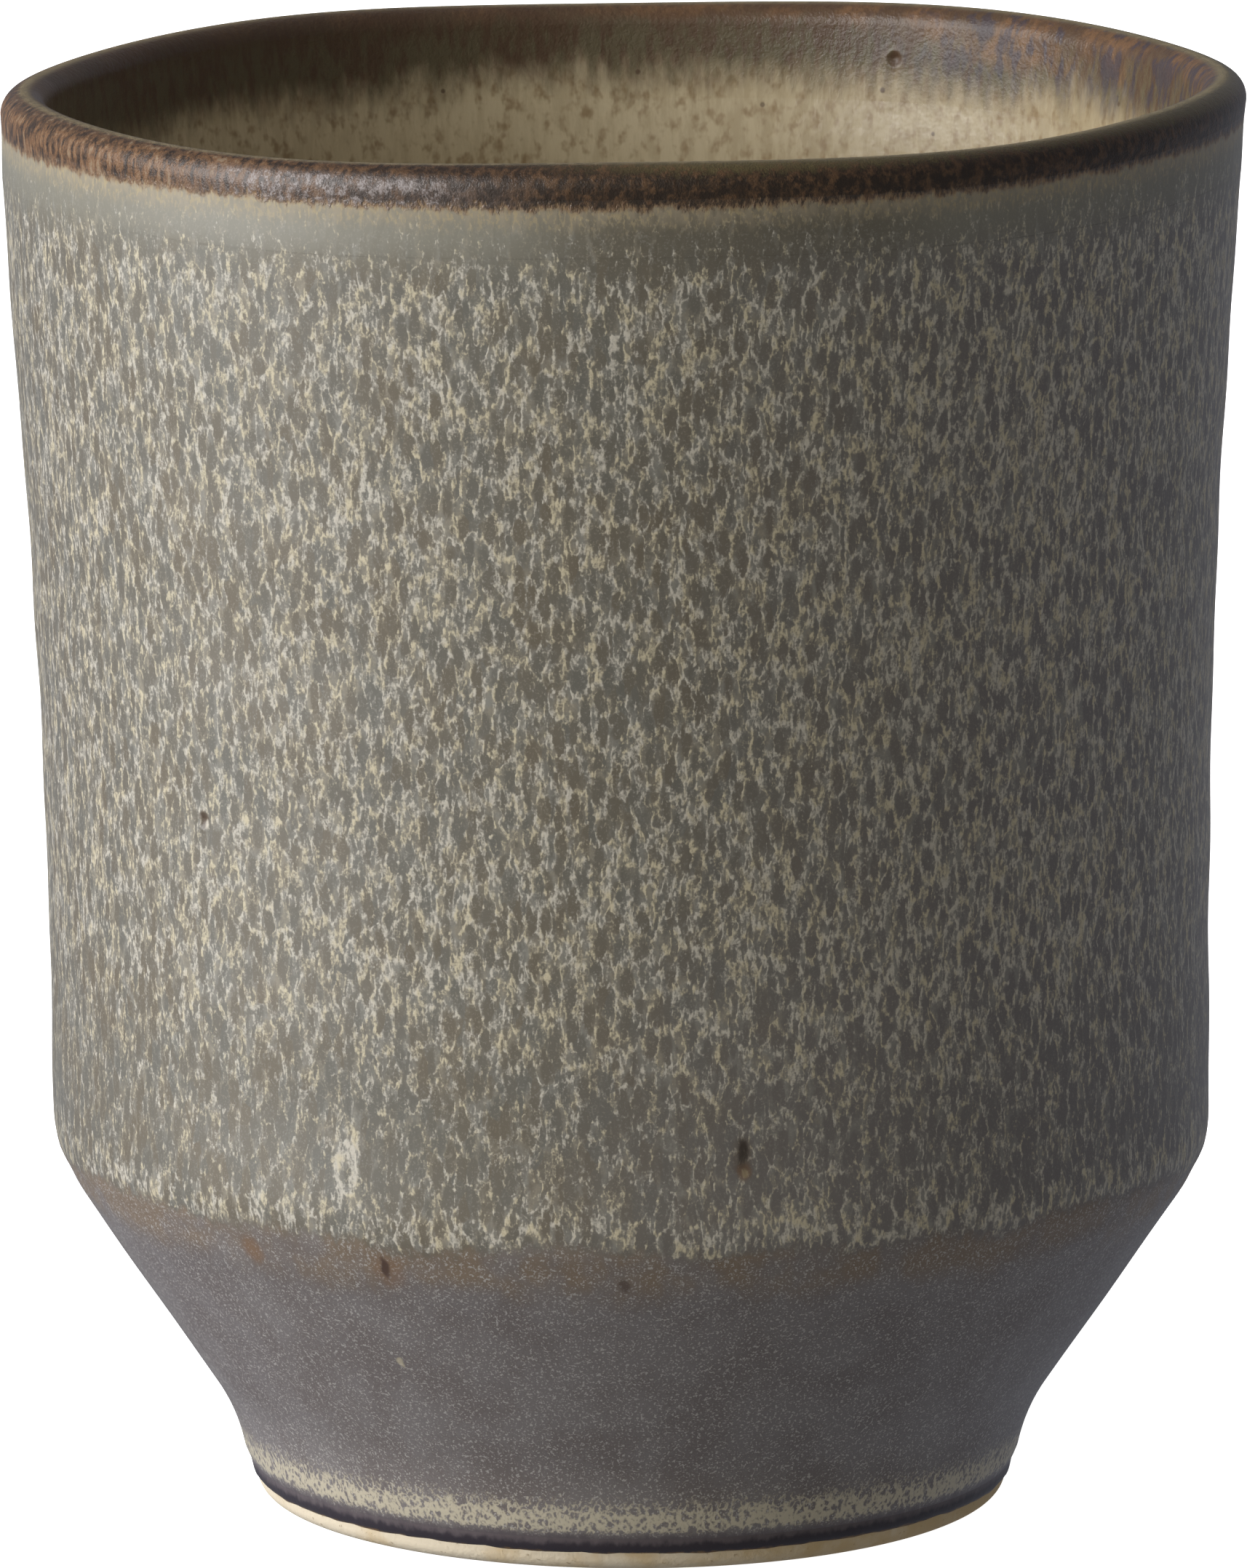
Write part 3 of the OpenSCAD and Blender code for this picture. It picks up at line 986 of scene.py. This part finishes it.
    # The edge of the dark lip
    edge = mix.times(mix.ramp(lip, 3.1, 4.7, 0.85, 0.0), mix.ramp(blots, 0.35, 0.6, 0.45, 1.0))
    gilt = mix.times(mix.ramp(lip, 3.1, 5.0, 0.8, 0), mix.ramp(grain, 0.5, 0.62))
    wall_look = Look(
        mix.mix(gilt, mix.mix(edge, colour, colours.band_edge), colours.gilt),
        mix.total(0.42, (crystals, 0.12)),
        mix.total(0.0, (crystals, 0.012), (runs, 0.02), (blots, 0.015)),
    )
    rusty = Look(
        mix.mix(mix.ramp(lip, 2.9, 3.35, 0.7, 0.0), wall_look.colour, colours.rust),
        wall_look.rough, wall_look.relief)
    lip_edge = mix.total(lip, (grain, 1.1))
    return mix.over(mix.ramp(lip_edge, 3.15, 3.75, 1, 0), rusty, lip_look(mix, colours))


def bowl_look(mix, colours):
    """The inside by depth: the olive-brown band running down into the cream."""
    runs = mix.clouds(0.9, stretch=3.5, detail=4, roughness=0.6, shift=57)
    sway = mix.clouds(8.0, detail=1, shift=59)
    shift = mix.ramp(mix.across, -30, 0, -1.0, 0.0)
    depth = mix.total(mix.depth, (shift, 1), (runs, 3.4), (sway, 3.0))
    bowl = mix.over(mix.ramp(depth, 5.9, 9.7), inner_look(mix, colours), liner_look(mix, colours))
    # The first speck is painted shade in the crater that the iron coat's pit sinks; the others are brown
    # spots
    specks = (
        (151.3, 89.5, 1.2, 0.95), (141.6, 89.2, 0.45, 0.9), (152.5, 87.4, 0.45, 0.9),
        (179.3, 88.0, 0.4, 0.8), (146.0, 84.8, 0.35, 0.8), (166.0, 86.0, 0.4, 0.7),
        (200.0, 87.0, 0.35, 0.8), (118.0, 88.6, 0.4, 0.7),
    )
    colour = marked(mix, bowl.colour, radius=36.8, marks=[
        (turn, height, size, size, share, colours.iron_brown) for turn, height, size, share in specks
    ])
    return Look(colour, bowl.rough, bowl.relief)


def outer_material(name, sizes, colours):
    """The grey or the mottled coat, whose look goes by height, so that one runs into the other."""
    mix = GlazeMix(name, sizes)
    return mix.finish(outer_look(mix, colours), GLOSSY)


def iron_material(sizes, colours):
    """The iron coat: the line at the foot, which ends on the clay in a thin amber edge, and the lip."""
    mix = GlazeMix("iron glaze", sizes)
    outside = outer_look(mix, colours)
    rag = mix.clouds(0.5, stretch=0.6, detail=3, shift=91)
    amber = mix.ramp(mix.total(mix.height, (rag, 0.5)), 1.36, 1.62, 0.95, 0.0)
    edged = Look(mix.mix(amber, outside.colour, colours.amber), outside.rough, outside.relief)
    inwards = mix.ramp(mix.radius, mix.lip_r - 0.7, mix.lip_r - 0.1, 1, 0)
    high = mix.ramp(mix.height, 60, 61)
    look = mix.over(mix.times(inwards, high), edged, bowl_look(mix, colours))
    return mix.finish(look, DULL)


def liner_material(sizes, colours):
    """The cream coat inside, under the olive-brown runs."""
    mix = GlazeMix("liner glaze", sizes)
    return mix.finish(bowl_look(mix, colours), GLOSSY)


def clay_material(sizes, colours):
    """Bare stoneware: buff, toasted in places, with grog and fine turning marks."""
    mix = GlazeMix("stoneware clay", sizes)
    toast = mix.clouds(5.0, detail=4, roughness=0.6, shift=101)
    grog = mix.clouds(0.35, detail=2, shift=103)
    toasted = mix.ramp(mix.total(toast, (mix.across, 0.008)), 0.38, 0.68, 0, 0.9)
    colour = mix.mix(toasted, colours.clay, colours.clay_toast)
    specks = mix.ramp(grog, 0.66, 0.76, 0, 0.5)
    look = Look(
        mix.mix(specks, colour, colours.amber),
        mix.ramp(grog, 0.3, 0.7, 0.8, 0.95),
        mix.total(0.0, (grog, 0.05), (toast, 0.05)),
    )
    return mix.finish(look, DULL)


def dressed(piece, node, material):
    """Gives a piece its material and its place in the frame, where it stands for a node."""
    piece.data.materials.append(material)
    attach(piece, "root")
    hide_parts(node)


def floor_paper(colours):
    """Pale paper that glows, so that it is even all over."""
    paper = bpy.data.materials.new("studio floor")
    paper.use_nodes = True
    set_inputs(paper.node_tree, paper.node_tree.nodes["Principled BSDF"], {
        "Base Color": (*colours.floor, 1), "Roughness": 0.9,
        "Emission Color": (1, 1, 1, 1), "Emission Strength": 1.0,
    })
    return paper


def room_light(studio):
    """Soft light from all round: stronger from below, warmer from the front."""
    world = bpy.data.worlds.new("studio room")
    world.use_nodes = True
    tree = world.node_tree
    spot = add_node(tree, "ShaderNodeTexCoord").outputs["Generated"]
    split = add_node(tree, "ShaderNodeSeparateXYZ", {0: spot})
    rise = add_node(tree, "ShaderNodeMapRange", {
        "Value": split.outputs["Z"], "From Min": -1,
        "To Min": studio.room + studio.bounce, "To Max": studio.room - studio.bounce,
    })
    front = add_node(tree, "ShaderNodeMapRange", {
        "Value": split.outputs["Y"], "From Min": -0.15, "From Max": -1,
    })
    warmth = add_node(tree, "ShaderNodeMix", {
        0: front.outputs["Result"], 6: (0.93, 0.975, 1.12, 1), 7: (1.0, 0.94, 0.75, 1),
    }, data_type="RGBA")
    set_inputs(tree, tree.nodes["Background"], {
        "Strength": rise.outputs["Result"], "Color": warmth.outputs[2],
    })
    return world


def area_light(name, aim, place, size, power, colour=(1, 1, 1), glossy=True):
    """A square light that faces the aim from a place beside it."""
    bpy.ops.object.light_add(type="AREA", location=aim + place)
    lamp = bpy.context.object
    lamp.name = name
    lamp.data.size = size
    lamp.data.energy = power
    lamp.data.color = colour
    lamp.visible_glossy = glossy
    lamp.rotation_euler = place.to_track_quat("Z", "Y").to_euler()


class TEACUP_OT_clay_body(bpy.types.Operator):
    """Throws the clay: wall, floor and turned foot in one piece"""

    bl_idname = "teacup.clay_body"
    bl_label = "Clay Body"

    def execute(self, context):
        sizes, colours = context.scene.teacup_sizes, context.scene.teacup_colours
        outline = underside_path(sizes, HOLLOW_STEP) + outside_path(sizes, CLAY_STEP)[1:]
        outline += lip_path(sizes, CLAY_LIP_STEPS) + inside_path(sizes, BOWL_STEP)
        piece = spun("thrown_clay", outline, closed=False)
        by_hand(piece, sizes)
        dressed(piece, "clay_body", clay_material(sizes, colours))
        return {"FINISHED"}


class TEACUP_OT_iron_glaze(bpy.types.Operator):
    """Lays the iron coat from the bare foot up the wall, over the lip and a little way down inside"""

    bl_idname = "teacup.iron_glaze"
    bl_label = "Iron Glaze"

    def execute(self, context):
        sizes, colours = context.scene.teacup_sizes, context.scene.teacup_colours
        rising = [point for point in outside_path(sizes, EDGE_STEP) if point.y >= sizes.bare_h]
        path = [
            point for i, point in enumerate(rising)
            if point.y < FINE_FOOT or point.y > sizes.height - FINE_LIP or i % HIDDEN_STRIDE == 0
        ]
        path += lip_path(sizes, COAT_LIP_STEPS)
        path += inside_parts(sizes, COAT_STEP)[0]
        outline = coat_outline(path, 0, lambda start, end: sizes.iron_t * bead(start / IRON_BEAD))
        piece = spun("iron_coat", outline)
        ragged(
            piece, level=sizes.bare_h, reach=1.2 * MM, amount=0.06 * MM,
            waves=(2, 5, 13, 29, 47, 71), seed=5)
        by_hand(piece, sizes)
        pitted(
            piece, turn=math.radians(151.3), height=89.5 * MM,
            width=1.1 * MM, length=1.0 * MM, depth=0.18 * MM, inside=True)
        dressed(piece, "iron_glaze", iron_material(sizes, colours))
        return {"FINISHED"}


class TEACUP_OT_grey_glaze(bpy.types.Operator):
    """Lays the grey coat over the iron, from the foot's dark line up to the lip"""

    bl_idname = "teacup.grey_glaze"
    bl_label = "Grey Glaze"

    def execute(self, context):
        sizes, colours = context.scene.teacup_sizes, context.scene.teacup_colours
        top = sizes.height - sizes.grey_top
        path = [point for point in outside_path(sizes, COAT_STEP) if sizes.grey_z <= point.y <= top]
        outline = coat_outline(
            path, sizes.iron_t,
            lambda start, end: sizes.grey_t * eased(start / sizes.feather) * eased(end / GREY_FADE))
        piece = spun("grey_coat", outline)
        by_hand(piece, sizes)
        dressed(piece, "grey_glaze", outer_material("grey glaze", sizes, colours))
        return {"FINISHED"}


class TEACUP_OT_mottled_glaze(bpy.types.Operator):
    """Lays the mottled coat over the grey, from the shoulder up the wall"""

    bl_idname = "teacup.mottled_glaze"
    bl_label = "Mottled Glaze"

    def execute(self, context):
        sizes, colours = context.scene.teacup_sizes, context.scene.teacup_colours
        top = sizes.height - sizes.mottled_top
        path = [point for point in outside_path(sizes, COAT_STEP) if sizes.mottled_z <= point.y <= top]
        edge = SHOULDER_FEATHER * sizes.feather
        outline = coat_outline(
            path, sizes.iron_t + sizes.grey_t,
            lambda start, end: sizes.mottled_t * eased(start / edge) * eased(end / MOTTLED_FADE))
        piece = spun("mottled_coat", outline)
        by_hand(piece, sizes)
        pitted(
            piece, turn=math.radians(-45), height=49.3 * MM,
            width=0.8 * MM, length=1.1 * MM, depth=0.18 * MM)
        dressed(piece, "mottled_glaze", outer_material("mottled glaze", sizes, colours))
        return {"FINISHED"}


class TEACUP_OT_liner_glaze(bpy.types.Operator):
    """Lays the cream coat inside, over the floor and up to the iron band"""

    bl_idname = "teacup.liner_glaze"
    bl_label = "Liner Glaze"

    def execute(self, context):
        sizes, colours = context.scene.teacup_sizes, context.scene.teacup_colours
        path = inside_parts(sizes, COAT_STEP)[1]
        outline = coat_outline(
            path, 0,
            lambda start, end: sizes.iron_t + (sizes.liner_t - sizes.iron_t) * eased(start / LINER_FADE))
        piece = spun("liner_coat", outline)
        by_hand(piece, sizes)
        dressed(piece, "liner_glaze", liner_material(sizes, colours))
        return {"FINISHED"}


class TEACUP_OT_stage(bpy.types.Operator):
    """Sets up the pale floor, the soft light and the camera"""

    bl_idname = "teacup.stage"
    bl_label = "Studio"

    def execute(self, context):
        studio, colours = context.scene.teacup_studio, context.scene.teacup_colours
        bpy.ops.object.select_all(action="DESELECT")
        bpy.ops.mesh.primitive_plane_add(size=8)
        floor = bpy.context.object
        floor.name = "studio_floor"
        floor.data.materials.append(floor_paper(colours))
        floor.visible_diffuse = False
        floor.visible_glossy = False
        aim = Vector((studio.aim_x, 0, studio.aim_z))
        turn, up = studio.key_turn, studio.key_rise
        way = Vector((-math.sin(turn) * math.cos(up), -math.cos(turn) * math.cos(up), math.sin(up)))
        area_light("key_light", aim, studio.key_distance * way, studio.key_size, studio.key_power)
        area_light(
            "fill_light", aim, Vector((-0.3, -1.1, 0.5)), size=0.6, power=studio.fill_power,
            colour=(1.0, 0.92, 0.76))
        area_light(
            "back_light", aim, Vector((0.35, 1.1, 0.4)), size=0.9, power=studio.back_power,
            colour=(1.0, 0.98, 0.96), glossy=False)
        context.scene.world = room_light(studio)
        context.scene.view_settings.view_transform = "Standard"
        back = Vector((0, -math.cos(studio.look_down), math.sin(studio.look_down)))
        bpy.ops.object.camera_add(location=aim + studio.distance * back)
        camera = bpy.context.object
        camera.name = "camera"
        camera.rotation_euler = (math.pi / 2 - studio.look_down, 0, 0)
        camera.data.lens = studio.lens
        camera.data.sensor_width = 36
        context.scene.camera = camera
        return {"FINISHED"}


class TEACUP_PT_panel(bpy.types.Panel):
    """Lists the steps that make the cup, and the settings that they use."""

    bl_idname = "TEACUP_PT_panel"
    bl_label = "Tea Cup"
    bl_space_type = "VIEW_3D"
    bl_region_type = "UI"
    bl_category = "Tea Cup"

    def draw(self, context):
        for step in STEPS:
            self.layout.operator(step.bl_idname)
        scene = context.scene
        for group in (scene.teacup_sizes, scene.teacup_colours, scene.teacup_studio):
            column = self.layout.column(align=True)
            for name in group.__annotations__:
                column.prop(group, name)


STEPS = (
    TEACUP_OT_clay_body,
    TEACUP_OT_iron_glaze,
    TEACUP_OT_grey_glaze,
    TEACUP_OT_mottled_glaze,
    TEACUP_OT_liner_glaze,
    TEACUP_OT_stage,
)
CLASSES = (TeaCupSizes, TeaCupColours, TeaCupStudio, *STEPS, TEACUP_PT_panel)


def register():
    """Adds the classes to Blender, and the settings to its scenes."""
    for part in CLASSES:
        bpy.utils.register_class(part)
    bpy.types.Scene.teacup_sizes = bpy.props.PointerProperty(type=TeaCupSizes)
    bpy.types.Scene.teacup_colours = bpy.props.PointerProperty(type=TeaCupColours)
    bpy.types.Scene.teacup_studio = bpy.props.PointerProperty(type=TeaCupStudio)


def unregister():
    """Takes away what register added."""
    del bpy.types.Scene.teacup_studio
    del bpy.types.Scene.teacup_colours
    del bpy.types.Scene.teacup_sizes
    for part in reversed(CLASSES):
        bpy.utils.unregister_class(part)


def main():
    """Makes the cup and its studio."""
    register()
    bpy.ops.teacup.clay_body()
    bpy.ops.teacup.iron_glaze()
    bpy.ops.teacup.grey_glaze()
    bpy.ops.teacup.mottled_glaze()
    bpy.ops.teacup.liner_glaze()
    bpy.ops.teacup.stage()


if __name__ == "__main__":
    main()
